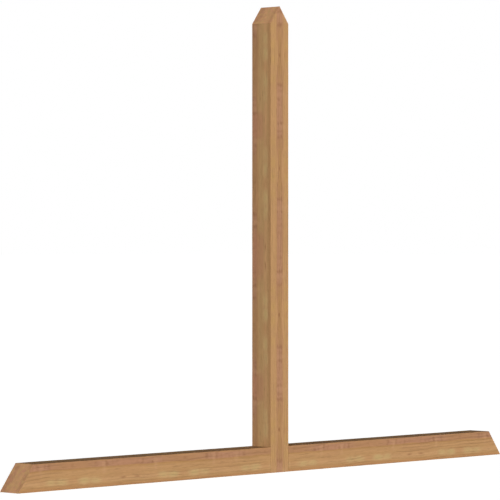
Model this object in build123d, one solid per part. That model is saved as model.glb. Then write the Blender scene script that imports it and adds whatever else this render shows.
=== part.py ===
"""Timber gable bracket: a king post standing between the two halves of a bottom chord.

The three timbers share one depth, so the bracket is flush at its front and its back. The chord halves
butt against the sides of the post. The head of the post and the outer ends of the chord are sawn along
the two rake planes of the gable, which meet at the peak of the post and at the chord's bottom corners.

Frame: +Z up, X across the gable, +Y towards the wall. The origin is midway across and midway deep, in
the plane of the bracket's underside.
"""

import os

from build123d import *

# Driving dimensions, in millimetres
GABLE_WIDTH = 2743.2  # between the bottom corners of the chord, 108 in
GABLE_HEIGHT = 1828.8  # from the underside to the peak of the post, 72 in
POST_FACE = 101.6  # width of the king post, seen from the front, 4 in
CHORD_FACE = 101.6  # height of the chord, seen from the front, 4 in
TIMBER_DEPTH = 101.6  # front to back, the same for all three timbers, 4 in
ARRIS_RADIUS = 1.5  # easing of the long edges

# Worked out from the driving dimensions
HALF_WIDTH = GABLE_WIDTH / 2
HALF_POST = POST_FACE / 2
ROOF_PITCH = GABLE_HEIGHT / HALF_WIDTH  # rise for each unit of run, 16 in 12


def rake_height(run):
    """Height of a rake plane at this distance from the middle of the gable."""
    return GABLE_HEIGHT - ROOF_PITCH * run


def rake_run(height):
    """Distance of a rake plane from the middle of the gable at this height."""
    return (GABLE_HEIGHT - height) / ROOF_PITCH


def sawn_timber(outline, grain):
    """A timber with this front outline, in X and Z, whose four edges along the grain are eased."""
    front = Plane.XZ * make_face(Polyline(outline, close=True))
    sharp = extrude(front, amount=TIMBER_DEPTH / 2, both=True)
    return fillet(sharp.edges().filter_by(grain), ARRIS_RADIUS)


def king_post():
    """The upright timber, from the underside to the peak, with its head sawn along both rakes."""
    shoulder = rake_height(HALF_POST)
    outline = [
        (-HALF_POST, 0),
        (HALF_POST, 0),
        (HALF_POST, shoulder),
        (0, GABLE_HEIGHT),
        (-HALF_POST, shoulder),
    ]
    return sawn_timber(outline, Axis.Z)


def right_chord():
    """The right half of the bottom chord, from the side of the post to the rake."""
    outline = [
        (HALF_POST, 0),
        (HALF_WIDTH, 0),
        (rake_run(CHORD_FACE), CHORD_FACE),
        (HALF_POST, CHORD_FACE),
    ]
    return sawn_timber(outline, Axis.X)


def left_chord():
    """The left half of the bottom chord, the right half's mirror image."""
    return mirror(right_chord(), about=Plane.YZ)


def main():
    os.makedirs("parts", exist_ok=True)
    for make_timber in (king_post, left_chord, right_chord):
        timber = make_timber()
        timber.label = make_timber.__name__
        export_step(timber, f"parts/{timber.label}.step")


main()
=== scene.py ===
# %% [markdown]
# Timber gable bracket.
# Three sawn timbers make an inverted T that is fixed to the wall under the peak of a roof: a king post,
# and a bottom chord in two halves that butt against its sides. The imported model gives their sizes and
# places, and Blender loads it as a fixed frame. This lesson gives each timber a mesh with eased edges and
# raised grain, and a wood material that follows the log it was sawn from.

import math
from collections import namedtuple

import bmesh
import bpy
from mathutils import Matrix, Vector


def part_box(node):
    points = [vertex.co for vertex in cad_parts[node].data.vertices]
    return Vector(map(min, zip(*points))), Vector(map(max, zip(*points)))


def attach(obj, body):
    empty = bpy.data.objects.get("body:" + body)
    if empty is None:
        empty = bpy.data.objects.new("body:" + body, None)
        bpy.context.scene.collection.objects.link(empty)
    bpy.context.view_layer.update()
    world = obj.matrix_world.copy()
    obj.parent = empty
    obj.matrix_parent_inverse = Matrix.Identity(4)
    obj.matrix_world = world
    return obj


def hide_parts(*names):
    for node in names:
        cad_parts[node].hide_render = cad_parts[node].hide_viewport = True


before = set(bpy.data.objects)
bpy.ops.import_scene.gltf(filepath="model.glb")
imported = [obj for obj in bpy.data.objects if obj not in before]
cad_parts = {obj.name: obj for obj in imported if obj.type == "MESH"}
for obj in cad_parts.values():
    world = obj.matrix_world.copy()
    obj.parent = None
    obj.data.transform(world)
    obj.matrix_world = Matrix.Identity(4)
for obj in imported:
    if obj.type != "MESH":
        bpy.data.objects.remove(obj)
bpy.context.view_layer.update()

# %% [markdown]
# Every size is read from the frame, so the meshes stay where the solids are; typed in again, the two
# could drift apart. The two rake planes are the slopes of the roof: both pass through the peak of the
# post, and each through a bottom corner of the chord. A plane is kept as its outward normal, which a saw
# cut needs next to a point.

# %% Sizes from the frame
post_low, post_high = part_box("king_post")
left_low, left_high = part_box("left_chord")
PEAK = post_high.z
POST_FACE = 2 * post_high.x
DEPTH = 2 * post_high.y
CHORD_FACE = left_high.z
HALF_WIDTH = -left_low.x
PEAK_POINT = Vector((0, 0, PEAK))
RAKE_LENGTH = math.hypot(PEAK, HALF_WIDTH)
LEFT, RIGHT = -1, 1


def rake_normal(side):
    """The outward normal of the roof's slope on this side."""
    return Vector((side * PEAK, 0, HALF_WIDTH)) / RAKE_LENGTH


print("peak", PEAK, "half width", HALF_WIDTH, "left rake", rake_normal(LEFT))

# %% [markdown]
# The camera stands where the photograph was taken from: level, about 12 m away, looking across the
# bracket at 46 degrees. It could be aimed with a Track To constraint, but a level camera keeps upright
# edges parallel, so its turn is set directly. The horizon lies a little above the middle of the picture,
# hence the small vertical shift.

# %% Camera
QUARTER_TURN = math.radians(90)
CAMERA_TURN = math.radians(46.2487)
CAMERA_AWAY = 11.8054
CAMERA_ASIDE = -0.0797
CAMERA_HEIGHT = 0.9151
CAMERA_LENS = 215.983
CAMERA_SHIFT = -0.02175
CAMERA_REACH = 200
ahead = Vector((math.sin(CAMERA_TURN), math.cos(CAMERA_TURN), 0))
rightward = Vector((math.cos(CAMERA_TURN), -math.sin(CAMERA_TURN), 0))
camera_place = rightward * CAMERA_ASIDE - ahead * CAMERA_AWAY + Vector((0, 0, CAMERA_HEIGHT))
bpy.ops.object.select_all(action="DESELECT")
bpy.ops.object.camera_add(location=camera_place, rotation=(QUARTER_TURN, 0, -CAMERA_TURN))
camera = bpy.context.object
camera.name = "bracket_camera"
camera.data.lens = CAMERA_LENS
camera.data.shift_y = CAMERA_SHIFT
camera.data.clip_end = CAMERA_REACH
bpy.context.scene.camera = camera
print("camera at", camera_place)

# %% [markdown]
# The light, the floor and the wood are made of nodes. They could be wired by hand in the Shader Editor,
# but they are the same few steps again and again, so three helpers do it: step adds a node, feed gives a
# socket a plain value or the result of an earlier step, and maths is a sum on numbers.

# %% Node helpers
def feed(tree, socket, value):
    """Links an earlier step's result to this socket, or sets the socket to a plain value."""
    if isinstance(value, bpy.types.NodeSocket):
        tree.links.new(value, socket)
    else:
        socket.default_value = value


def step(tree, kind, inputs, **settings):
    """Adds a node, sets its options and feeds the named or numbered inputs."""
    made = tree.nodes.new(kind)
    for name, setting in settings.items():
        setattr(made, name, setting)
    for name, value in inputs.items():
        feed(tree, made.inputs[name], value)
    return made


def maths(tree, operation, *values):
    """One sum on numbers."""
    return step(tree, "ShaderNodeMath", dict(enumerate(values)), operation=operation).outputs[0]


print("node helpers ready")

# %% [markdown]
# The studio is white all round. The camera, and rays that gloss or glass send on, see the world as plain
# white, and every other ray takes only a little light from it, so that no corner goes black. One world
# could hold all of the light, but then the tops would be as bright as the sides. The Standard view
# transform shows a colour as it is written.

# %% World
WORLD_GLOW = 0.08
WHITE = (1, 1, 1, 1)


def seen_directly(tree):
    """1 for rays from the camera and for those that gloss or glass send on, 0 for the rest."""
    path = tree.nodes.new("ShaderNodeLightPath").outputs
    gloss_or_glass = maths(tree, "MAXIMUM", path["Is Glossy Ray"], path["Is Transmission Ray"])
    return maths(tree, "MAXIMUM", path["Is Camera Ray"], gloss_or_glass)


bpy.context.scene.view_settings.view_transform = "Standard"
world = bpy.data.worlds.new("white_studio")
bpy.context.scene.world = world
world.use_nodes = True
sky = world.node_tree
sky.nodes.clear()
lighting = step(sky, "ShaderNodeBackground", {"Color": WHITE, "Strength": WORLD_GLOW}).outputs[0]
backdrop = step(sky, "ShaderNodeBackground", {"Color": WHITE, "Strength": 1.0}).outputs[0]
shown = step(sky, "ShaderNodeMixShader", {0: seen_directly(sky), 1: lighting, 2: backdrop}).outputs[0]
step(sky, "ShaderNodeOutputWorld", {"Surface": shown})
print("world nodes", len(sky.nodes))

# %% [markdown]
# Four wide, soft lamps stand round the bracket, one to each side. They are low, so they light the upright
# faces and leave the tops of the chord dark, as in the photograph; the left one is a little higher and
# reaches the sawn ends too. Area lamps would light the near end of a timber more than the far one, and
# suns light its whole length evenly. Each row gives a lamp's name, its turn and height in degrees, and
# its light as a share of pi, the strength at which a sun shows a matt face in its own colour.

# %% Lamps
LAMP_SOFTNESS = math.radians(20)
LAMP_DISTANCE = 5
LAMPS = (
    ("front_lamp", 0, 0, 0.862),
    ("left_lamp", -90, 7, 0.60),
    ("right_lamp", 90, 0, 0.61),
    ("back_lamp", 180, -2, 0.61),
)
for name, turn_degrees, height_degrees, light in LAMPS:
    turn = math.radians(turn_degrees)
    height = math.radians(height_degrees)
    place = LAMP_DISTANCE * Vector((math.sin(turn), -math.cos(turn), math.tan(height)))
    bpy.ops.object.select_all(action="DESELECT")
    bpy.ops.object.light_add(type="SUN", location=place, rotation=(QUARTER_TURN - height, 0, turn))
    lamp = bpy.context.object
    lamp.name = name
    lamp.data.energy = light * math.pi
    lamp.data.angle = LAMP_SOFTNESS
    print(name, "at", place)

# %% [markdown]
# The floor is a pale sheet, a hair under the timbers. Most of what the camera sees of it is its own glow,
# so it shows as white, and the rest is a matt surface that takes the bracket's soft shadow. The lamps
# stand about as low as the horizon, so the floor is set to block none of their light and to send none
# back up.

# %% Floor
FLOOR_SIZE = 240
FLOOR_GAP = 0.0005
FLOOR_COLOUR = (0.45, 0.45, 0.45, 1)
FLOOR_GLOW = 0.93
bpy.ops.object.select_all(action="DESELECT")
bpy.ops.mesh.primitive_plane_add(size=FLOOR_SIZE, location=(0, 0, -FLOOR_GAP))
floor = bpy.context.object
floor.name = "floor"
floor.visible_diffuse = False
floor.visible_shadow = False
floor_paint = bpy.data.materials.new("floor_paint")
floor_paint.use_nodes = True
paint = floor_paint.node_tree
paint.nodes.clear()
matt = step(paint, "ShaderNodeBsdfDiffuse", {"Color": FLOOR_COLOUR}).outputs[0]
own_glow = maths(paint, "MULTIPLY", seen_directly(paint), FLOOR_GLOW)
glowing = step(paint, "ShaderNodeEmission", {"Color": WHITE, "Strength": own_glow}).outputs[0]
surface = step(paint, "ShaderNodeAddShader", {0: matt, 1: glowing}).outputs[0]
step(paint, "ShaderNodeOutputMaterial", {"Surface": surface})
floor.data.materials.append(floor_paint)
print("floor", FLOOR_SIZE, "m wide")

# %% [markdown]
# Wood is never even, so its sums need soft steps and noise. A soft step rises smoothly from 0 to 1, where
# a hard one would draw a line, and serves as a mask. Noise is stretched by multiplying the place that it
# reads, so it can be long along the grain and short across it. A picture of wood would be uneven too, but
# it would repeat, and blur close up.

# %% Soft steps and noise
MIDWAY = 0.5
NOISE_DETAIL = 2.0


def vector_maths(tree, operation, *values):
    """One sum on vectors, whose result is a vector."""
    made = step(tree, "ShaderNodeVectorMath", dict(enumerate(values)), operation=operation)
    return made.outputs["Vector"]


def eased(tree, value, low, high):
    """0 below low, 1 above high and a smooth rise between them."""
    limits = {"Value": value, "From Min": low, "From Max": high}
    return step(tree, "ShaderNodeMapRange", limits, interpolation_type="SMOOTHSTEP").outputs["Result"]


def inverse(tree, mask):
    """1 where a mask is 0, and 0 where it is 1."""
    return maths(tree, "SUBTRACT", 1.0, mask)


def noise(tree, place, stretch, detail=NOISE_DETAIL):
    """Soft random values from 0 to 1, with this many lumps to the metre along each axis."""
    stretched = vector_maths(tree, "MULTIPLY", place, stretch)
    inputs = {"Vector": stretched, "Scale": 1.0, "Detail": detail}
    return step(tree, "ShaderNodeTexNoise", inputs).outputs[0]


def swing(tree, place, stretch):
    """Soft random values to either side of 0."""
    return maths(tree, "SUBTRACT", noise(tree, place, stretch), MIDWAY)


print("noise has detail", NOISE_DETAIL)

# %% [markdown]
# A log lays down one ring a year round its pith: pale wood in spring, then a harder, darker band. A
# timber is a bar cut out of that log, so each of its faces shows the same rings from another side: long
# waves on the front, close lines on the sides and arcs on a sawn end. The rings are worked out from a
# place in the timber, with the grain along X. An image would need a map for each face. The same sum
# serves the mesh, where the hard bands stand proud, and the material, where they are darker.

# %% Growth rings
RING_WIDTH = 0.0052
RING_WANDER = 0.018
WANDER_STRETCH = (3.0, 5.0, 5.0)
WANDER_DETAIL = 3.0
LOG_TAPER = 0.010
ACROSS_LOG = (0, 1, 1)
LATE_START, LATE_FULL, LATE_END = 0.40, 0.86, 0.96


def parts_of(tree, vector):
    """The three parts of a vector."""
    return step(tree, "ShaderNodeSeparateXYZ", {0: vector}).outputs


def years_of(tree, place, pith):
    """How many rings lie between the pith and a place in the timber."""
    from_pith = vector_maths(tree, "SUBTRACT", place, pith)
    across = vector_maths(tree, "MULTIPLY", from_pith, ACROSS_LOG)
    radius = step(tree, "ShaderNodeVectorMath", {0: across}, operation="LENGTH").outputs["Value"]
    wander = maths(tree, "MULTIPLY", noise(tree, place, WANDER_STRETCH, WANDER_DETAIL), RING_WANDER)
    taper = maths(tree, "MULTIPLY", parts_of(tree, place)["X"], LOG_TAPER)
    grown = maths(tree, "ADD", maths(tree, "ADD", radius, wander), taper)
    return maths(tree, "DIVIDE", grown, RING_WIDTH)


def late_wood_of(tree, years):
    """How much of a place is late, hard wood: it rises through each ring and ends sharply."""
    season = maths(tree, "FRACT", years)
    rising = eased(tree, season, LATE_START, LATE_FULL)
    return maths(tree, "MULTIPLY", rising, inverse(tree, eased(tree, season, LATE_END, 1.0)))


print("growth rings", RING_WIDTH, "m apart")

# %% [markdown]
# All the woods use these rings, so they go into a node group with named sockets, which is built once and
# placed in each material. Copied nodes would do too, but a change would have to be made in every copy.
# The group also gives each ring a random tone, because no two years are alike.

# %% Rings as a node group
def new_group(name, kind, inputs, outputs):
    """A node group with named sockets, and its two end nodes."""
    tree = bpy.data.node_groups.new(name, kind)
    for end, sockets in (("INPUT", inputs), ("OUTPUT", outputs)):
        for socket, socket_kind in sockets.items():
            tree.interface.new_socket(socket, in_out=end, socket_type="NodeSocket" + socket_kind)
    return tree, tree.nodes.new("NodeGroupInput").outputs, tree.nodes.new("NodeGroupOutput").inputs


rings, rings_in, rings_out = new_group(
    "Growth rings",
    "ShaderNodeTree",
    {"Place": "Vector", "Pith": "Vector"},
    {"Late wood": "Float", "Ring tone": "Float"},
)
years = years_of(rings, rings_in["Place"], rings_in["Pith"])
ring_number = maths(rings, "FLOOR", years)
ring_tone = step(rings, "ShaderNodeTexWhiteNoise", {"W": ring_number}, noise_dimensions="1D")
feed(rings, rings_out["Late wood"], late_wood_of(rings, years))
feed(rings, rings_out["Ring tone"], ring_tone.outputs["Value"])
print("ring nodes", len(rings.nodes))

# %% [markdown]
# Raised grain. After planing, the soft spring wood shrinks a little below the hard bands. A Displace
# modifier with a cloud texture could roughen the mesh, but it wouldn't follow the rings, so a small
# Geometry Nodes modifier sinks each vertex by the same sum that colours the wood.

# %% Raised grain
GRAIN_RELIEF = 0.00022


def scaled(tree, vector, amount):
    """A vector, or a colour, times a number."""
    made = step(tree, "ShaderNodeVectorMath", {0: vector, "Scale": amount}, operation="SCALE")
    return made.outputs["Vector"]


relief, relief_in, relief_out = new_group(
    "Raised grain",
    "GeometryNodeTree",
    {"Geometry": "Geometry", "Turn": "Vector", "Shift": "Vector", "Pith": "Vector"},
    {"Geometry": "Geometry"},
)
vertex_place = relief.nodes.new("GeometryNodeInputPosition").outputs[0]
vertex_normal = relief.nodes.new("GeometryNodeInputNormal").outputs[0]
turning = {"Vector": vertex_place, "Rotation": relief_in["Turn"]}
turned = step(relief, "ShaderNodeVectorRotate", turning, rotation_type="EULER_XYZ").outputs[0]
grain_place = vector_maths(relief, "ADD", turned, relief_in["Shift"])
hard_wood = late_wood_of(relief, years_of(relief, grain_place, relief_in["Pith"]))
sunk = maths(relief, "MULTIPLY_ADD", hard_wood, GRAIN_RELIEF, -GRAIN_RELIEF)
moving = {"Geometry": relief_in["Geometry"], "Offset": scaled(relief, vertex_normal, sunk)}
moved = step(relief, "GeometryNodeSetPosition", moving).outputs[0]
feed(relief, relief_out["Geometry"], moved)
print("raised grain", GRAIN_RELIEF, "m")

# %% [markdown]
# Grain. In the frame the post's grain runs up and the chord's runs across, so both are turned to lie
# along X before the rings are worked out: Y is then the way across the front, and Z the way through the
# timber. The pith lies behind the wall side and a little to one side, as in a timber cut from the outer
# part of a log. A small record holds all this for each timber.

# %% Grain of each timber
Grain = namedtuple("Grain", "along turn shift pith")
CHORD_GRAIN = Grain(
    along=Vector((1, 0, 0)),
    turn=(-QUARTER_TURN, 0, 0),
    shift=(0, -CHORD_FACE / 2, 0),
    pith=(0, 0.16, -0.30),
)
POST_GRAIN = Grain(
    along=Vector((0, 0, 1)),
    turn=(QUARTER_TURN, 0, QUARTER_TURN),
    shift=(0, 0, 0),
    pith=(0, 0.15, 0.24),
)
print("pith behind the chord", CHORD_GRAIN.pith, "and the post", POST_GRAIN.pith)

# %% [markdown]
# A timber starts as a squared blank and is sawn to length along a plane. The blank is a cube, and its
# place and size are applied to its mesh. The saw is Bisect, which drops what lies outside the plane and
# closes the cut. A Boolean could cut it too, but it needs a second shape to cut with. Everything is
# deselected first, because operators act on all that is selected.

# %% Blanks and saw cuts
def take_up(piece):
    """Makes this piece the only one selected, and the active one."""
    bpy.ops.object.select_all(action="DESELECT")
    piece.select_set(True)
    bpy.context.view_layer.objects.active = piece


def squared_blank(name, low, high):
    """A squared bar between two corners, with its place in its mesh."""
    bpy.ops.object.select_all(action="DESELECT")
    bpy.ops.mesh.primitive_cube_add(size=1, location=(low + high) / 2)
    blank = bpy.context.object
    blank.name = name
    blank.data.name = name
    blank.scale = high - low
    bpy.ops.object.transform_apply(location=True, rotation=True, scale=True)
    return blank


def saw_off(piece, point, outward):
    """Saws along a plane, drops what lies outside it and closes the cut."""
    take_up(piece)
    bpy.ops.object.mode_set(mode="EDIT")
    bpy.ops.mesh.select_all(action="SELECT")
    bpy.ops.mesh.bisect(plane_co=point, plane_no=outward, use_fill=True, clear_outer=True)
    bpy.ops.object.mode_set(mode="OBJECT")


print("post blank", post_high - post_low)

# %% [markdown]
# By hand, edges and faces are picked with the mouse. In code a test of where they lie or which way they
# face picks them, and the operator that follows works on those alone. Indices would be shorter to write,
# but they change with every cut.

# %% Pick edges and faces
def pick(piece, kind, wanted):
    """Selects the edges or faces that pass a test, in edit mode, and returns how many there are."""
    bpy.ops.mesh.select_mode(type=kind)
    bpy.ops.mesh.select_all(action="DESELECT")
    mesh = bmesh.from_edit_mesh(piece.data)
    choice = {"EDGE": mesh.edges, "FACE": mesh.faces}[kind]
    picked = [part for part in choice if wanted(part)]
    for part in picked:
        part.select_set(True)
    bmesh.update_edit_mesh(piece.data)
    return len(picked)


def run_of(edge):
    """The way from one end of an edge to the other."""
    return edge.verts[1].co - edge.verts[0].co


print("picking ready")

# %% [markdown]
# Edges. The four edges along a timber are eased with a plane until they are just round to the touch, and
# the edges of a sawn end only lose their splinters. Both are bevels: the first is wider and has more
# steps. A Bevel modifier would treat all edges alike, so the operator is used, and early on, while the
# few faces keep the corners clean.

# %% Ease the edges
EASED_EDGE = 0.0015
EASED_STEPS = 4
SPLINTER_EDGE = 0.0006
SPLINTER_STEPS = 2
ALONG_GRAIN = 0.99
CORNER_ANGLE = QUARTER_TURN / 2
SAWN_MATCH = 0.9


def is_sawn(normal):
    """True for a face that lies on one of the two rakes."""
    return max(normal.dot(rake_normal(side)) for side in (LEFT, RIGHT)) > SAWN_MATCH


def on_corner(edge, grain):
    """True for an edge along the grain between two faces that aren't in one plane."""
    along = abs(run_of(edge).normalized().dot(grain.along)) > ALONG_GRAIN
    return along and edge.calc_face_angle() > CORNER_ANGLE


def ease_edges(piece, grain):
    """Rounds the edges along the grain, then breaks the edges of the sawn faces."""
    take_up(piece)
    bpy.ops.object.mode_set(mode="EDIT")
    long_edges = pick(piece, "EDGE", lambda edge: on_corner(edge, grain))
    bpy.ops.mesh.bevel(offset=EASED_EDGE, segments=EASED_STEPS, affect="EDGES")
    sawn_edges = pick(piece, "EDGE", lambda edge: any(is_sawn(face.normal) for face in edge.link_faces))
    bpy.ops.mesh.bevel(offset=SPLINTER_EDGE, segments=SPLINTER_STEPS, affect="EDGES")
    bpy.ops.object.mode_set(mode="OBJECT")
    print(piece.name, "eased", long_edges, "long edges and", sawn_edges, "sawn ones")


print("long edges lose", EASED_EDGE, "m and sawn ones", SPLINTER_EDGE, "m")

# %% [markdown]
# Raised grain needs vertices to move: close together across the grain, where rings pass every few
# millimetres, and far apart along it. A Subdivision modifier would cut both ways alike, so Subdivide cuts
# the long edges first and then the short ones, and each long face becomes a neat grid that ends along the
# saw cut.

# %% Divide for the grain
GRAIN_CELL = 0.018
CROSS_CELL = 0.0018
SHORTEST_CROSSING = POST_FACE / 4


def cuts_for(length, cell):
    """How many cuts divide this length into cells of about this size."""
    return max(round(length / cell) - 1, 1)


def crosses(edge, through):
    """True for an edge across the grain that runs through the timber, or else over its face."""
    run = run_of(edge)
    return run.length > SHORTEST_CROSSING and (abs(run.y) > run.length / 2) == through


def shortest_picked(piece):
    """The length of the shortest edge that is selected in edit mode."""
    mesh = bmesh.from_edit_mesh(piece.data)
    return min(run_of(edge).length for edge in mesh.edges if edge.select)


def divide(piece):
    """Cuts every long face into a grid, fine across the grain and coarse along it."""
    take_up(piece)
    bpy.ops.object.mode_set(mode="EDIT")
    length = max(piece.dimensions)
    pick(piece, "EDGE", lambda edge: run_of(edge).length > length / 2)
    bpy.ops.mesh.subdivide(number_cuts=cuts_for(length, GRAIN_CELL))
    for through in (False, True):
        pick(piece, "EDGE", lambda edge: crosses(edge, through))
        bpy.ops.mesh.subdivide(number_cuts=cuts_for(shortest_picked(piece), CROSS_CELL))
    bpy.ops.object.mode_set(mode="OBJECT")


print("cuts along the post", cuts_for(PEAK, GRAIN_CELL))

# %% [markdown]
# The sawn faces have many corners on their outline and no grid within it, so Subdivide leaves them whole.
# Bisect scores them in both directions instead, through the corners that are there already. Filling them
# with triangles would be quicker, but long thin triangles shade badly once the grain is raised.

# %% Score the sawn faces
SCORE_REACH = 0.0002
ON_SLOPE = 0.9998
SCORE_WAYS = (Vector((0, 1, 0)), Vector((0, 0, 1)))


def score_sawn_face(piece, side):
    """Scores one sawn face along and across its slope, through the corners on its outline."""
    slope = rake_normal(side)
    take_up(piece)
    bpy.ops.object.mode_set(mode="EDIT")
    lines = 0
    for way in SCORE_WAYS:
        pick(piece, "FACE", lambda face: face.normal.dot(slope) > ON_SLOPE)
        mesh = bmesh.from_edit_mesh(piece.data)
        places = sorted({round(vert.co.dot(way) / SCORE_REACH) for vert in mesh.verts if vert.select})
        for place in places[1:-1]:
            pick(piece, "FACE", lambda face: face.normal.dot(slope) > ON_SLOPE)
            point = way * (place * SCORE_REACH)
            bpy.ops.mesh.bisect(plane_co=point, plane_no=way, threshold=SCORE_REACH)
            lines += 1
    bpy.ops.object.mode_set(mode="OBJECT")
    print(piece.name, "scored with", lines, "lines")


print("corners within", SCORE_REACH, "m share a line")

# %% [markdown]
# The last job on a mesh is to raise its grain and smooth its shading, within a face and over the eased
# edges, but not where a sawn face meets a long one. Flat shading would show every cell of the grid, and
# smooth shading all over would round off the saw cuts.

# %% Raise the grain
SMOOTH_ANGLE = math.radians(35)


def raise_grain(piece, grain):
    """Applies the raised grain of this timber to its mesh, and smooths its shading."""
    take_up(piece)
    bpy.ops.object.modifier_add(type="NODES")
    modifier = piece.modifiers[-1]
    modifier.node_group = relief
    values = {"Turn": grain.turn, "Shift": grain.shift, "Pith": grain.pith}
    for socket in relief.interface.items_tree:
        if socket.name in values:
            modifier[socket.identifier] = values[socket.name]
    bpy.ops.object.modifier_apply(modifier=modifier.name)
    bpy.ops.object.shade_smooth_by_angle(angle=SMOOTH_ANGLE)
    print(piece.name, "has", len(piece.data.polygons), "faces")


print("edges over", math.degrees(SMOOTH_ANGLE), "degrees stay sharp")

# %% [markdown]
# King post. A post is sawn from one bar: a blank as long as the peak is high, with both rakes sawn off
# its head. It could be drawn as an outline and extruded, but sawing leaves the same faces as on the real
# one. The mesh is also split down the middle, so that each half of its front is a four-sided face that
# the grid can follow up to the ridge.

# %% King post
post = squared_blank("king_post_timber", post_low, post_high)
for side in (LEFT, RIGHT):
    saw_off(post, PEAK_POINT, rake_normal(side))
bpy.ops.object.mode_set(mode="EDIT")
bpy.ops.mesh.select_all(action="SELECT")
bpy.ops.mesh.bisect(plane_co=(0, 0, 0), plane_no=(1, 0, 0))
bpy.ops.object.mode_set(mode="OBJECT")
ease_edges(post, POST_GRAIN)
divide(post)
for side in (LEFT, RIGHT):
    score_sawn_face(post, side)
raise_grain(post, POST_GRAIN)

# %% [markdown]
# Chord halves. Each half is a bar from the side of the post to the bottom corner, with one end sawn on
# the rake and the other left square to butt against the post. A Mirror modifier could make the second
# half from the first, but its grain would be mirrored too, so both are sawn by the same steps and each
# gets grain of its own.

# %% Chord halves
chords = {}
for node, side in (("left_chord", LEFT), ("right_chord", RIGHT)):
    chord = squared_blank(node + "_timber", *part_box(node))
    saw_off(chord, PEAK_POINT, rake_normal(side))
    ease_edges(chord, CHORD_GRAIN)
    divide(chord)
    score_sawn_face(chord, side)
    raise_grain(chord, CHORD_GRAIN)
    chords[node] = chord

# %% [markdown]
# Fibre. Wood is a bundle of fibres along the grain. Close up they show as fine streaks, with a soft
# mottle and short dark dashes where a pore was cut open. A Wave Texture draws streaks too, but evenly
# spaced ones. Noise that is stretched along the grain gives them all.

# %% Fibre
STREAK_STRETCH = (7.0, 380.0, 380.0)
STREAK_DETAIL = 3.0
BROAD_STRETCH = (4.0, 90.0, 90.0)
MOTTLE_STRETCH = (55.0, 130.0, 130.0)
PORE_STRETCH = (24.0, 640.0, 640.0)
PORE_DETAIL = 1.0
PORE_START, PORE_FULL = 0.62, 0.74
fibre, fibre_in, fibre_out = new_group(
    "Fibre",
    "ShaderNodeTree",
    {"Place": "Vector"},
    dict.fromkeys(("Streaks", "Broad streaks", "Mottle", "Pores"), "Float"),
)
fibre_place = fibre_in["Place"]
pore_field = noise(fibre, fibre_place, PORE_STRETCH, PORE_DETAIL)
feed(fibre, fibre_out["Streaks"], noise(fibre, fibre_place, STREAK_STRETCH, STREAK_DETAIL))
feed(fibre, fibre_out["Broad streaks"], noise(fibre, fibre_place, BROAD_STRETCH))
feed(fibre, fibre_out["Mottle"], noise(fibre, fibre_place, MOTTLE_STRETCH))
feed(fibre, fibre_out["Pores"], eased(fibre, pore_field, PORE_START, PORE_FULL))
print("fibre nodes", len(fibre.nodes))

# %% [markdown]
# Figure. Along these timbers the wood changes about every half metre: rosy stretches, faint at their
# ends, come and go with a ripple of darker rungs and a pale bar; straw patches lie in pairs between them,
# with a dull gap from pair to pair; and here and there a small dark dash or fleck marks a pin knot. Each
# mark is a soft bump at a place on the beat. Painted on a texture, they would be fixed to one face.

# %% Places of the marks
FIGURE_BEAT = 0.513
ROSY_ENDS = (0.165, 0.185, 0.390, 0.412)
FAINT_ROSY_ENDS = (0.185, 0.230, 0.345, 0.390)
FAINT_ROSY = 0.4
BLUSH_ENDS = (0.060, 0.120, 0.440, 0.480)
RUNGS = (
    (0.035, 0.010, 0.4), (0.065, 0.010, 0.7), (0.090, 0.008, 0.4),
    (0.118, 0.011, 1.0), (0.168, 0.014, 1.1), (0.410, 0.014, 1.1),
    (0.432, 0.009, 0.6), (0.466, 0.012, 1.0), (0.490, 0.009, 0.4),
)
PALE_BARS = ((0.134, 0.016, 1.0), (0.450, 0.015, 0.8))
PATCHES = ((0.176, 0.042, 0.75), (0.230, 0.046, 1.05), (0.345, 0.046, 0.85), (0.398, 0.044, 0.65))
FAINTEST_PATCH = 0.6
GAPS = ((0.285, 0.038, 1.0),)
DASHES = ((0.037, 0.024, 1.0),)
FLECKS = ((0.290, 0.013, 1.0),)


def bump_row(tree, value, bumps):
    """The highest of a row of soft bumps, each with its middle, half width and height."""
    highest = 0.0
    for middle, half_width, height in bumps:
        away = maths(tree, "ABSOLUTE", maths(tree, "SUBTRACT", value, middle))
        bump = maths(tree, "MULTIPLY_ADD", eased(tree, away, 0, half_width), -height, height)
        highest = maths(tree, "MAXIMUM", bump, highest)
    return highest


def at_both_ends(tree, value, ends):
    """1 near the start and the end of a beat, and 0 between them."""
    near, near_end, far_start, far = ends
    at_start = inverse(tree, eased(tree, value, near, near_end))
    return maths(tree, "MAXIMUM", at_start, eased(tree, value, far_start, far))


print("a beat has", len(RUNGS), "rungs and", len(PATCHES), "straw patches")

# %% [markdown]
# The beat is a to-and-fro count along the grain, so the marks return in mirrored order, as on
# book-matched boards. A plain repeat would look like wallpaper. Noise pushes the beat about, slowly along
# the timber and raggedly across it, and breaks the rungs and patches, so that no two stretches are alike.

# %% Figure as a node group
BEAT_DRIFT = 0.022
BEAT_STRETCH = (3.0, 8.0, 8.0)
RAGGED_DRIFT = 0.022
RAGGED_STRETCH = (38.0, 75.0, 75.0)
BREAK_STRETCH = (22.0, 40.0, 40.0)
BREAK_START, BREAK_FULL = 0.30, 0.58
MARKS = ("Rosy", "Blush", "Rungs", "Pale bars", "Patches", "Gaps", "Dashes", "Flecks")
figure, figure_in, figure_out = new_group(
    "Figure",
    "ShaderNodeTree",
    {"Place": "Vector", "Along": "Float"},
    dict.fromkeys(MARKS, "Float"),
)
drift = swing(figure, figure_in["Place"], BEAT_STRETCH)
ragged = swing(figure, figure_in["Place"], RAGGED_STRETCH)
drifted = maths(figure, "MULTIPLY_ADD", drift, BEAT_DRIFT, figure_in["Along"])
beat = maths(figure, "PINGPONG", maths(figure, "MULTIPLY_ADD", ragged, RAGGED_DRIFT, drifted), FIGURE_BEAT)
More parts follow.
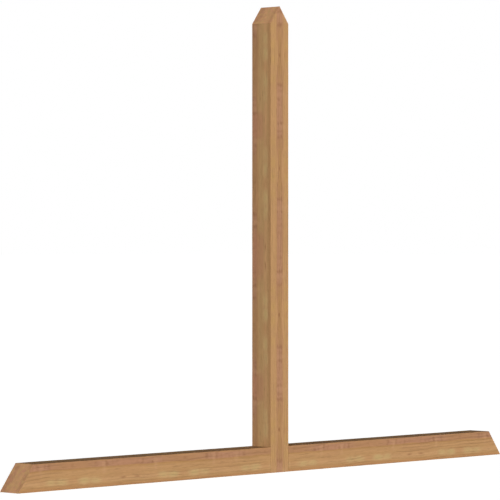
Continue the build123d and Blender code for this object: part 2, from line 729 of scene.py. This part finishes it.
broken = eased(figure, noise(figure, figure_in["Place"], BREAK_STRETCH), BREAK_START, BREAK_FULL)
uneven = maths(figure, "MULTIPLY_ADD", broken, 1 - FAINTEST_PATCH, FAINTEST_PATCH)
full_rosy = at_both_ends(figure, beat, ROSY_ENDS)
faint_rosy = maths(figure, "MULTIPLY", at_both_ends(figure, beat, FAINT_ROSY_ENDS), FAINT_ROSY)
feed(figure, figure_out["Rosy"], maths(figure, "MAXIMUM", full_rosy, faint_rosy))
feed(figure, figure_out["Blush"], at_both_ends(figure, beat, BLUSH_ENDS))
feed(figure, figure_out["Rungs"], maths(figure, "MULTIPLY", bump_row(figure, beat, RUNGS), broken))
feed(figure, figure_out["Patches"], maths(figure, "MULTIPLY", bump_row(figure, beat, PATCHES), uneven))
for mark, bumps in (("Pale bars", PALE_BARS), ("Gaps", GAPS), ("Dashes", DASHES), ("Flecks", FLECKS)):
    feed(figure, figure_out[mark], bump_row(figure, beat, bumps))
print("figure nodes", len(figure.nodes))

# %% [markdown]
# The colours of the bare timber, as a painter would name them. They could be set by eye in the colour
# picker. Here they are written as the linear values that Blender mixes in, which are lower than the
# numbers of the same colours on a screen.

# %% Timber colours
ROSE = (0.458, 0.236, 0.134, 1)
TAN = (0.447, 0.233, 0.113, 1)
# Cooler tan of the post's sides, a painted tint of the cool light on that shaded side.
SHADE_COOLED_TAN = (0.430, 0.233, 0.109, 1)
# Cooler bronze of the post's sides, painted cool light as above.
SHADE_COOLED_BRONZE = (0.456, 0.246, 0.108, 1)
BRONZE = (0.440, 0.238, 0.094, 1)
WALNUT = (0.434, 0.235, 0.100, 1)
GOLD = (0.505, 0.282, 0.125, 1)
DULL_GOLD = (0.487, 0.276, 0.119, 1)
# Cooler gold of the post's sides, painted cool light as above.
SHADE_COOLED_GOLD = (0.497, 0.296, 0.132, 1)
PALE_GOLD = (0.538, 0.305, 0.141, 1)
STRAW = (0.570, 0.372, 0.174, 1)
GREEN_STRAW = (0.518, 0.358, 0.150, 1)
OCHRE = (0.475, 0.272, 0.118, 1)
RUST = (0.476, 0.248, 0.105, 1)
YELLOW = (0.516, 0.300, 0.113, 1)
CREAM = (0.560, 0.315, 0.162, 1)
BLUSH = (0.480, 0.220, 0.125, 1)
UMBER = (0.300, 0.140, 0.065, 1)
print("the middle of a timber is", GOLD)

# %% [markdown]
# Bare timber has very little gloss, so its shader's own socket gets a low specular level. Its patterns
# read Object coordinates, which a Mapping node turns and shifts into the grain of the timber. A UV map
# would need a seam along every edge, and Generated coordinates would stretch with each piece.

# %% Start of a timber material
SHEEN_LEVEL = 0.04


def timber_tree(name):
    """A new material, its node tree and its shader, with the gloss of bare wood."""
    material = bpy.data.materials.new(name)
    material.use_nodes = True
    shader = material.node_tree.nodes["Principled BSDF"]
    shader.inputs["Specular IOR Level"].default_value = SHEEN_LEVEL
    return material, material.node_tree, shader


def grain_place_of(tree, grain):
    """Object coordinates, turned and shifted into the grain space of a timber."""
    here = tree.nodes.new("ShaderNodeTexCoord").outputs["Object"]
    mapping = {"Vector": here, "Rotation": grain.turn, "Location": grain.shift}
    return step(tree, "ShaderNodeMapping", mapping).outputs[0]


print("specular level", SHEEN_LEVEL)

# %% [markdown]
# Across its face a timber passes through bands of colour. A colour ramp over the width gives them, and
# noise makes the place on the width wander, so that no band runs straight. The marks of the figure are
# tints: a colour is mixed in where a band of the face and a mark overlap. Painted vertex colours could do
# this too, but the grid is too coarse along the grain.

# %% Bands and tints
BAND_WANDER = 0.07
BAND_STRETCH = (2.2, 9.0, 9.0)
BAND_RAGGED = 0.09
BAND_RAGGED_STRETCH = (14.0, 60.0, 60.0)
MIX_FACTOR, MIX_UNDER, MIX_OVER, MIX_RESULT = 0, 6, 7, 2


def colour_ramp(tree, share, stops):
    """A ramp with a colour at each share of the way."""
    made = step(tree, "ShaderNodeValToRGB", {"Fac": share})
    elements = made.color_ramp.elements
    while len(elements) < len(stops):
        elements.new(MIDWAY)
    for element, (place, colour) in zip(elements, stops):
        element.position = place
        element.color = colour
    return made.outputs["Color"]


def wandering_share(tree, place, share):
    """A share of the face's width that wanders to either side along the grain."""
    swayed = maths(tree, "MULTIPLY_ADD", swing(tree, place, BAND_STRETCH), BAND_WANDER, share)
    return maths(tree, "MULTIPLY_ADD", swing(tree, place, BAND_RAGGED_STRETCH), BAND_RAGGED, swayed)


def band_mask(tree, share, band):
    """1 within a band of the face, with soft borders, and 0 outside it."""
    start, full, fade, end = band
    before_end = inverse(tree, eased(tree, share, fade, end))
    return maths(tree, "MULTIPLY", eased(tree, share, start, full), before_end)


def tint(tree, colour, over, amount, *masks):
    """Mixes a colour in by this amount where all of the masks are 1."""
    for mask in masks:
        amount = maths(tree, "MULTIPLY", mask, amount)
    inputs = {MIX_FACTOR: amount, MIX_UNDER: colour, MIX_OVER: over}
    return step(tree, "ShaderNodeMix", inputs, data_type="RGBA").outputs[MIX_RESULT]


print("bands wander by", BAND_WANDER, "of the face")

# %% [markdown]
# Rings, streaks and pores make a colour lighter or darker by a few percent. Each becomes a tone, a number
# near 1 that the colour is multiplied by, so that their order doesn't matter. Mixing in black could only
# darken it. Some rings are stronger than others, and all of them come and go.

# %% Ring lines and tones
FAINTEST_RING = 0.30
PATCHY_STRETCH = (4.0, 30.0, 30.0)
PATCHY_START, PATCHY_FULL = 0.34, 0.62


def ring_lines(tree, place, pith):
    """The hard bands of the rings, each of its own strength, which come and go along the grain."""
    ring = step(tree, "ShaderNodeGroup", {"Place": place, "Pith": pith}, node_tree=rings).outputs
    strength = maths(tree, "MULTIPLY_ADD", ring["Ring tone"], 1 - FAINTEST_RING, FAINTEST_RING)
    patchy = eased(tree, noise(tree, place, PATCHY_STRETCH), PATCHY_START, PATCHY_FULL)
    return maths(tree, "MULTIPLY", ring["Late wood"], maths(tree, "MULTIPLY", strength, patchy))


def around_one(tree, value, contrast):
    """Turns a value from 0 to 1 into a tone with this contrast about 1."""
    return maths(tree, "MULTIPLY_ADD", value, contrast, 1 - contrast / 2)


def darker(tree, mask, amount):
    """A tone of 1 that falls by this amount where the mask is 1."""
    return maths(tree, "MULTIPLY_ADD", mask, -amount, 1.0)


def toned(tree, colour, *tones):
    """A colour made lighter or darker by each of these tones."""
    for tone in tones:
        colour = scaled(tree, colour, tone)
    return colour


print("faintest ring", FAINTEST_RING)

# %% [markdown]
# The finish is that of planed, unoiled timber: fine lines that can be felt, and a dull surface that
# varies from fibre to fibre. The streaks that tone the colour feed the roughness too, and with the rings
# they feed the bump, so that all of it lines up. Separate noise for each would look like dirt.

# %% Finish of bare timber
RING_DARKENING = 0.20
PORE_DARKENING = 0.26
STREAK_CONTRAST = 0.25
BROAD_CONTRAST = 0.14
MOTTLE_CONTRAST = 0.15
ROUGH_BASE = 0.80
ROUGH_SPREAD = 0.16
BUMP_HEIGHT = 0.00035
BUMP_STRENGTH = 0.5


def feed_shader(tree, shader, colour, rough, height, distance):
    """Gives a shader its colour, its roughness and a bump of this height."""
    bumping = {"Height": height, "Strength": BUMP_STRENGTH, "Distance": distance}
    feed(tree, shader.inputs["Base Color"], colour)
    feed(tree, shader.inputs["Roughness"], rough)
    feed(tree, shader.inputs["Normal"], step(tree, "ShaderNodeBump", bumping).outputs["Normal"])


def finish_timber(tree, shader, place, pith, colour):
    """Adds rings, streaks and pores to a colour, and the roughness and bump that go with them."""
    lines = ring_lines(tree, place, pith)
    grain = step(tree, "ShaderNodeGroup", {"Place": place}, node_tree=fibre).outputs
    colour = toned(
        tree,
        colour,
        darker(tree, lines, RING_DARKENING),
        darker(tree, grain["Pores"], PORE_DARKENING),
        around_one(tree, grain["Streaks"], STREAK_CONTRAST),
        around_one(tree, grain["Broad streaks"], BROAD_CONTRAST),
        around_one(tree, grain["Mottle"], MOTTLE_CONTRAST),
    )
    rough = maths(tree, "MULTIPLY_ADD", grain["Streaks"], ROUGH_SPREAD, ROUGH_BASE - ROUGH_SPREAD / 2)
    feed_shader(tree, shader, colour, rough, maths(tree, "ADD", lines, grain["Streaks"]), BUMP_HEIGHT)


print("bump", BUMP_HEIGHT, "m high")

# %% [markdown]
# The chord, and the sides of the post, have a rosy streak along one edge, gold in the middle, a row of
# straw patches with a greener core, and a browner edge. On the post's sides the colours are a cooler,
# greyer copy of the chord's, a painted tint of the cool light on that shaded side. On the front of the
# chord the streak is at the top, on the chord's top along the front edge, and on the post's sides along
# the wall. Each mark has a colour, an amount and a band across the face: where it starts, is full, fades
# and ends.

# %% Bands of the edge-streaked faces
EDGE_BANDS = (
    (0.00, RUST), (0.05, TAN), (0.25, TAN), (0.29, BRONZE), (0.37, GOLD), (0.47, GOLD), (0.55, DULL_GOLD),
    (0.63, GOLD), (0.70, PALE_GOLD), (0.76, PALE_GOLD), (0.84, OCHRE), (0.92, RUST), (1.00, RUST),
)
# The post's sides take the chord's bands in cooler, greyer colours, a painted tint of the cool light on
# that shaded side.
SHADE_COOLED_SIDE_BANDS = (
    (0.00, RUST), (0.05, SHADE_COOLED_TAN), (0.25, SHADE_COOLED_TAN), (0.31, SHADE_COOLED_BRONZE), (0.38, SHADE_COOLED_GOLD), (0.63, SHADE_COOLED_GOLD),
    (0.70, PALE_GOLD), (0.76, PALE_GOLD), (0.84, OCHRE), (0.92, SHADE_COOLED_BRONZE), (1.00, SHADE_COOLED_BRONZE),
)
ROSE_AMOUNT, ROSE_BAND = 0.82, (0.02, 0.07, 0.22, 0.29)
BLUSH_BAND = (0.02, 0.07, 0.55, 0.70)
RUNG_AMOUNT = 0.50
BAR_AMOUNT, BAR_BAND = 0.40, (0.04, 0.14, 0.44, 0.58)
STRAW_AMOUNT, STRAW_BAND = 0.97, (0.54, 0.68, 0.79, 0.88)
CORE_AMOUNT, CORE_BAND = 0.65, (0.60, 0.69, 0.75, 0.83)
GAP_AMOUNT, GAP_BAND = 0.30, (0.50, 0.56, 0.78, 0.84)
DASH_AMOUNT, DASH_BAND = 0.60, (0.65, 0.69, 0.71, 0.75)
FLECK_AMOUNT, FLECK_BAND = 0.28, (0.06, 0.12, 0.17, 0.23)


def edge_tints(blush_amount):
    """The marks of an edge-streaked face, with colours, amounts and bands, in the order laid on."""
    return (
        ("Rosy", ROSE, ROSE_AMOUNT, ROSE_BAND),
        ("Blush", BLUSH, blush_amount, BLUSH_BAND),
        ("Rungs", UMBER, RUNG_AMOUNT, ROSE_BAND),
        ("Pale bars", CREAM, BAR_AMOUNT, BAR_BAND),
        ("Patches", STRAW, STRAW_AMOUNT, STRAW_BAND),
        ("Patches", GREEN_STRAW, CORE_AMOUNT, CORE_BAND),
        ("Gaps", RUST, GAP_AMOUNT, GAP_BAND),
        ("Dashes", UMBER, DASH_AMOUNT, DASH_BAND),
        ("Flecks", UMBER, FLECK_AMOUNT, FLECK_BAND),
    )


print("ramp stops on the chord", len(EDGE_BANDS), "and the post", len(SHADE_COOLED_SIDE_BANDS))

# %% [markdown]
# Three faces are edge-streaked: the front and the top of the chord, and the sides of the post. One
# material could find out which way each face looks and choose its bands, but three simple ones are easier
# to read. Each has a row with its name, its grain, the way across the face and its width, the bands,
# where along the timber the beat starts, and how much it blushes.

# %% Edge-streaked timber
CHORD_FIGURE_MIDDLE = 0.8165
SIDE_FIGURE_MIDDLE = 0.849
CHORD_BLUSH = 0.1
SIDE_BLUSH = 0.5


def edge_streaked(name, grain, across, face, bands, figure_middle, blush_amount):
    """Bare timber with its rosy streak where the way across the face is largest."""
    material, tree, shader = timber_tree(name)
    place = grain_place_of(tree, grain)
    parts = parts_of(tree, place)
    share = wandering_share(tree, place, maths(tree, "MULTIPLY_ADD", parts[across], -1 / face, MIDWAY))
    from_middle = maths(tree, "SUBTRACT", maths(tree, "ABSOLUTE", parts["X"]), figure_middle)
    marks = step(tree, "ShaderNodeGroup", {"Place": place, "Along": from_middle}, node_tree=figure).outputs
    colour = colour_ramp(tree, share, bands)
    for mark, over, amount, band in edge_tints(blush_amount):
        colour = tint(tree, colour, over, amount, band_mask(tree, share, band), marks[mark])
    finish_timber(tree, shader, place, grain.pith, colour)
    return material


EDGE_WOODS = (
    ("chord_wood", CHORD_GRAIN, "Y", CHORD_FACE, EDGE_BANDS, CHORD_FIGURE_MIDDLE, CHORD_BLUSH),
    ("chord_top_wood", CHORD_GRAIN, "Z", DEPTH, EDGE_BANDS, CHORD_FIGURE_MIDDLE, CHORD_BLUSH),
    ("post_side_wood", POST_GRAIN, "Z", DEPTH, SHADE_COOLED_SIDE_BANDS, SIDE_FIGURE_MIDDLE, SIDE_BLUSH),
)
chord_wood, chord_top_wood, post_side_wood = (edge_streaked(*wood) for wood in EDGE_WOODS)
print("chord wood nodes", len(chord_wood.node_tree.nodes))

# %% [markdown]
# The front of the post has its rosy streak in the middle and gold on both sides of it, which turns yellow
# between the rosy stretches, where the streak is drawn in like a waist. It could be the chord's material
# with its share folded at the middle, but the two sides aren't alike, so it has bands of its own.

# %% Bands of the post's front
CENTRE_BANDS = (
    (0.00, GOLD), (0.29, GOLD), (0.35, TAN), (0.42, WALNUT),
    (0.61, WALNUT), (0.66, TAN), (0.72, GOLD), (1.00, GOLD),
)
FRONT_FIGURE_MIDDLE = 0.904
WAISTS = ((0.290, 0.090, 0.7),)
YELLOW_PATCHES = ((0.190, 0.034, 0.7), (0.255, 0.040, 1.0), (0.310, 0.040, 1.0), (0.390, 0.034, 0.7))
YELLOW_AMOUNT, STREAK_AND_BORDERS = 0.7, (0.20, 0.30, 0.72, 0.80)
FRONT_ROSE_BAND = (0.32, 0.38, 0.62, 0.69)
FRONT_BAR_AMOUNT, FRONT_BAR_BAND = 0.48, (0.62, 0.69, 0.82, 0.95)
FAINT_BAR, FAINT_BAR_BAND = 0.35, (0.05, 0.20, 0.58, 0.68)
FRONT_GAP_AMOUNT, FRONT_GAP_BAND = 0.5, (0.72, 0.78, 0.92, 0.98)
FRONT_FLECK_AMOUNT, FRONT_FLECK_BAND = 0.75, (0.41, 0.46, 0.50, 0.55)
print("ramp stops", len(CENTRE_BANDS))

# %% [markdown]
# The front's material takes the same steps as the chord's. What differs is where the streak lies, that
# the ramp reads the share drawn in at the waists, and that the pale bars also cross the other side of the
# streak, faintly.

# %% Front of the post
def centre_streaked(name, grain):
    """Bare timber with its rosy streak in the middle of the face."""
    material, tree, shader = timber_tree(name)
    place = grain_place_of(tree, grain)
    parts = parts_of(tree, place)
    from_middle = maths(tree, "SUBTRACT", parts["X"], FRONT_FIGURE_MIDDLE)
    marks = step(tree, "ShaderNodeGroup", {"Place": place, "Along": from_middle}, node_tree=figure).outputs
    beat = maths(tree, "PINGPONG", from_middle, FIGURE_BEAT)
    waist = maths(tree, "ADD", bump_row(tree, beat, WAISTS), 1.0)
    share = wandering_share(tree, place, maths(tree, "MULTIPLY_ADD", parts["Y"], 1 / POST_FACE, MIDWAY))
    drawn_in = maths(tree, "MULTIPLY_ADD", maths(tree, "SUBTRACT", share, MIDWAY), waist, MIDWAY)
    streak = band_mask(tree, share, FRONT_ROSE_BAND)
    faint_bar = band_mask(tree, share, FAINT_BAR_BAND)
    bar = maths(tree, "MULTIPLY_ADD", faint_bar, FAINT_BAR, band_mask(tree, share, FRONT_BAR_BAND))
    beside = inverse(tree, band_mask(tree, share, STREAK_AND_BORDERS))
    gap = band_mask(tree, share, FRONT_GAP_BAND)
    fleck = band_mask(tree, share, FRONT_FLECK_BAND)
    colour = colour_ramp(tree, drawn_in, CENTRE_BANDS)
    colour = tint(tree, colour, ROSE, ROSE_AMOUNT, streak, marks["Rosy"])
    colour = tint(tree, colour, UMBER, RUNG_AMOUNT, streak, marks["Rungs"])
    colour = tint(tree, colour, CREAM, FRONT_BAR_AMOUNT, bar, marks["Pale bars"])
    colour = tint(tree, colour, YELLOW, YELLOW_AMOUNT, beside, bump_row(tree, beat, YELLOW_PATCHES))
    colour = tint(tree, colour, RUST, FRONT_GAP_AMOUNT, gap, marks["Gaps"])
    colour = tint(tree, colour, UMBER, FRONT_FLECK_AMOUNT, fleck, marks["Flecks"])
    finish_timber(tree, shader, place, grain.pith, colour)
    return material


post_front_wood = centre_streaked("post_front_wood", POST_GRAIN)
print("post front nodes", len(post_front_wood.node_tree.nodes))

# %% [markdown]
# Sawn ends. A saw cut shows the rings end on, mottled with rosy and straw spots. Its colours are paler
# than those of the planed faces, and this paleness is painted light: it makes up for the little light that
# the low lamps give these upward-sloping cuts. It could share the material of the faces, but their streaks
# would run on over the cut as if it were planed. Its bands run along the slope, and change from the wall
# to the front.

# %% Colours of a saw cut
# These colours are paler than those of the planed faces as painted light on the upward-sloping cuts.
SAWN_BACK = (0.578, 0.298, 0.157, 1)
SAWN_GOLD = (0.682, 0.382, 0.183, 1)
SAWN_BROWN = (0.590, 0.310, 0.147, 1)
SAWN_ROSE = (0.620, 0.329, 0.167, 1)
SAWN_BLUSH = (0.645, 0.308, 0.186, 1)
SAWN_STRAW = (0.668, 0.408, 0.172, 1)
PAINTED_LIGHT_END_BANDS = (
    (0.00, SAWN_BACK), (0.26, SAWN_BACK), (0.38, SAWN_GOLD),
    (0.75, SAWN_GOLD), (0.87, SAWN_BROWN), (0.93, SAWN_BROWN), (0.99, SAWN_ROSE),
)
BLUSH_SPOT_STRETCH = (66.0, 82.0, 66.0)
STRAW_SPOT_STRETCH = (52.0, 66.0, 52.0)
SPOT_START, SPOT_FULL = 0.47, 0.66
SPOT_AMOUNT = 0.7


def sawn_colour(tree, here, share):
    """The bands of a saw cut, with its rosy and straw spots."""
    colour = colour_ramp(tree, wandering_share(tree, here, share), PAINTED_LIGHT_END_BANDS)
    for over, stretch in ((SAWN_BLUSH, BLUSH_SPOT_STRETCH), (SAWN_STRAW, STRAW_SPOT_STRETCH)):
        spots = eased(tree, noise(tree, here, stretch), SPOT_START, SPOT_FULL)
        colour = tint(tree, colour, over, SPOT_AMOUNT, spots)
    return colour


print("ramp stops", len(PAINTED_LIGHT_END_BANDS))

# %% [markdown]
# The saw leaves fine, slightly curved lines across the cut, and the ends of the fibres show as pores.
# Both change the tone a little and feed the bump. The lines are a sine of the height, bent by the square
# of the distance from the middle. A Wave Texture would need the same bent place, so the sine is the
# shorter way.

# %% Sawn ends
END_RING_DARKENING = 0.15
SAW_PITCH = 0.0034
SAW_CURVE = 9.0
SAW_TONE = 0.03
SAW_LINE_SHARE = 0.25
END_GRAIN_STRETCH = (420.0, 420.0, 420.0)
END_GRAIN_TONE = 0.20
BLOTCH_STRETCH = (64.0, 64.0, 64.0)
BLOTCH_TONE = 0.34
END_ROUGH_SPREAD = 0.12
END_BUMP = 0.0003


def saw_lines_of(tree, parts):
    """The lines that the saw leaves, from 0 to 1."""
    curve = maths(tree, "MULTIPLY", maths(tree, "MULTIPLY", parts["Y"], parts["Y"]), SAW_CURVE)
    passes = maths(tree, "DIVIDE", maths(tree, "ADD", parts["Z"], curve), SAW_PITCH / math.tau)
    return maths(tree, "MULTIPLY_ADD", maths(tree, "SINE", passes), MIDWAY, MIDWAY)


def sawn_wood(name, grain):
    """The sawn end of a timber with this grain."""
    material, tree, shader = timber_tree(name)
    here = tree.nodes.new("ShaderNodeTexCoord").outputs["Object"]
    parts = parts_of(tree, here)
    saw_lines = saw_lines_of(tree, parts)
    pores = noise(tree, here, END_GRAIN_STRETCH)
    colour = toned(
        tree,
        sawn_colour(tree, here, maths(tree, "MULTIPLY_ADD", parts["Y"], -1 / DEPTH, MIDWAY)),
        darker(tree, ring_lines(tree, grain_place_of(tree, grain), grain.pith), END_RING_DARKENING),
        around_one(tree, saw_lines, SAW_TONE),
        around_one(tree, pores, END_GRAIN_TONE),
        around_one(tree, noise(tree, here, BLOTCH_STRETCH), BLOTCH_TONE),
    )
    rough = maths(tree, "MULTIPLY_ADD", pores, END_ROUGH_SPREAD, ROUGH_BASE)
    height = maths(tree, "MULTIPLY_ADD", saw_lines, SAW_LINE_SHARE, pores)
    feed_shader(tree, shader, colour, rough, height, END_BUMP)
    return material


chord_sawn = sawn_wood("chord_sawn_end", CHORD_GRAIN)
post_sawn = sawn_wood("post_sawn_head", POST_GRAIN)
print("sawn end nodes", len(chord_sawn.node_tree.nodes))

# %% [markdown]
# Each face takes its wood by the way it faces. A face on a rake, the foot of the post and the butt end of
# a chord half cut across the grain, so they are sawn ends. The rest is front and back, or sides and top.
# They could be picked by hand in edit mode, but a test of the normal works for any grid.

# %% Wood on the timbers
def dress(piece, woods, wood_of):
    """Gives a piece its materials, and each face the one that its normal calls for."""
    for wood in woods:
        piece.data.materials.append(wood)
    for face in piece.data.polygons:
        face.material_index = woods.index(wood_of(face.normal))


def is_end(normal, grain):
    """True for a face that is cut across the grain, on a rake or square to the timber."""
    return is_sawn(normal) or abs(normal.dot(grain.along)) > SAWN_MATCH


def post_wood_of(normal):
    """The wood of a face of the post."""
    if is_end(normal, POST_GRAIN):
        return post_sawn
    return post_front_wood if abs(normal.y) > abs(normal.x) else post_side_wood


def chord_wood_of(normal):
    """The wood of a face of the chord."""
    if is_end(normal, CHORD_GRAIN):
        return chord_sawn
    return chord_top_wood if abs(normal.z) > abs(normal.y) else chord_wood


dress(post, [post_front_wood, post_side_wood, post_sawn], post_wood_of)
for chord in chords.values():
    dress(chord, [chord_wood, chord_top_wood, chord_sawn], chord_wood_of)
print("dressed", post.name, *chords)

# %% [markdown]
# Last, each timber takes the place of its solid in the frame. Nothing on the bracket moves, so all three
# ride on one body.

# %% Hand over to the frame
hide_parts("king_post")
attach(post, "root")
for node, chord in chords.items():
    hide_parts(node)
    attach(chord, "root")
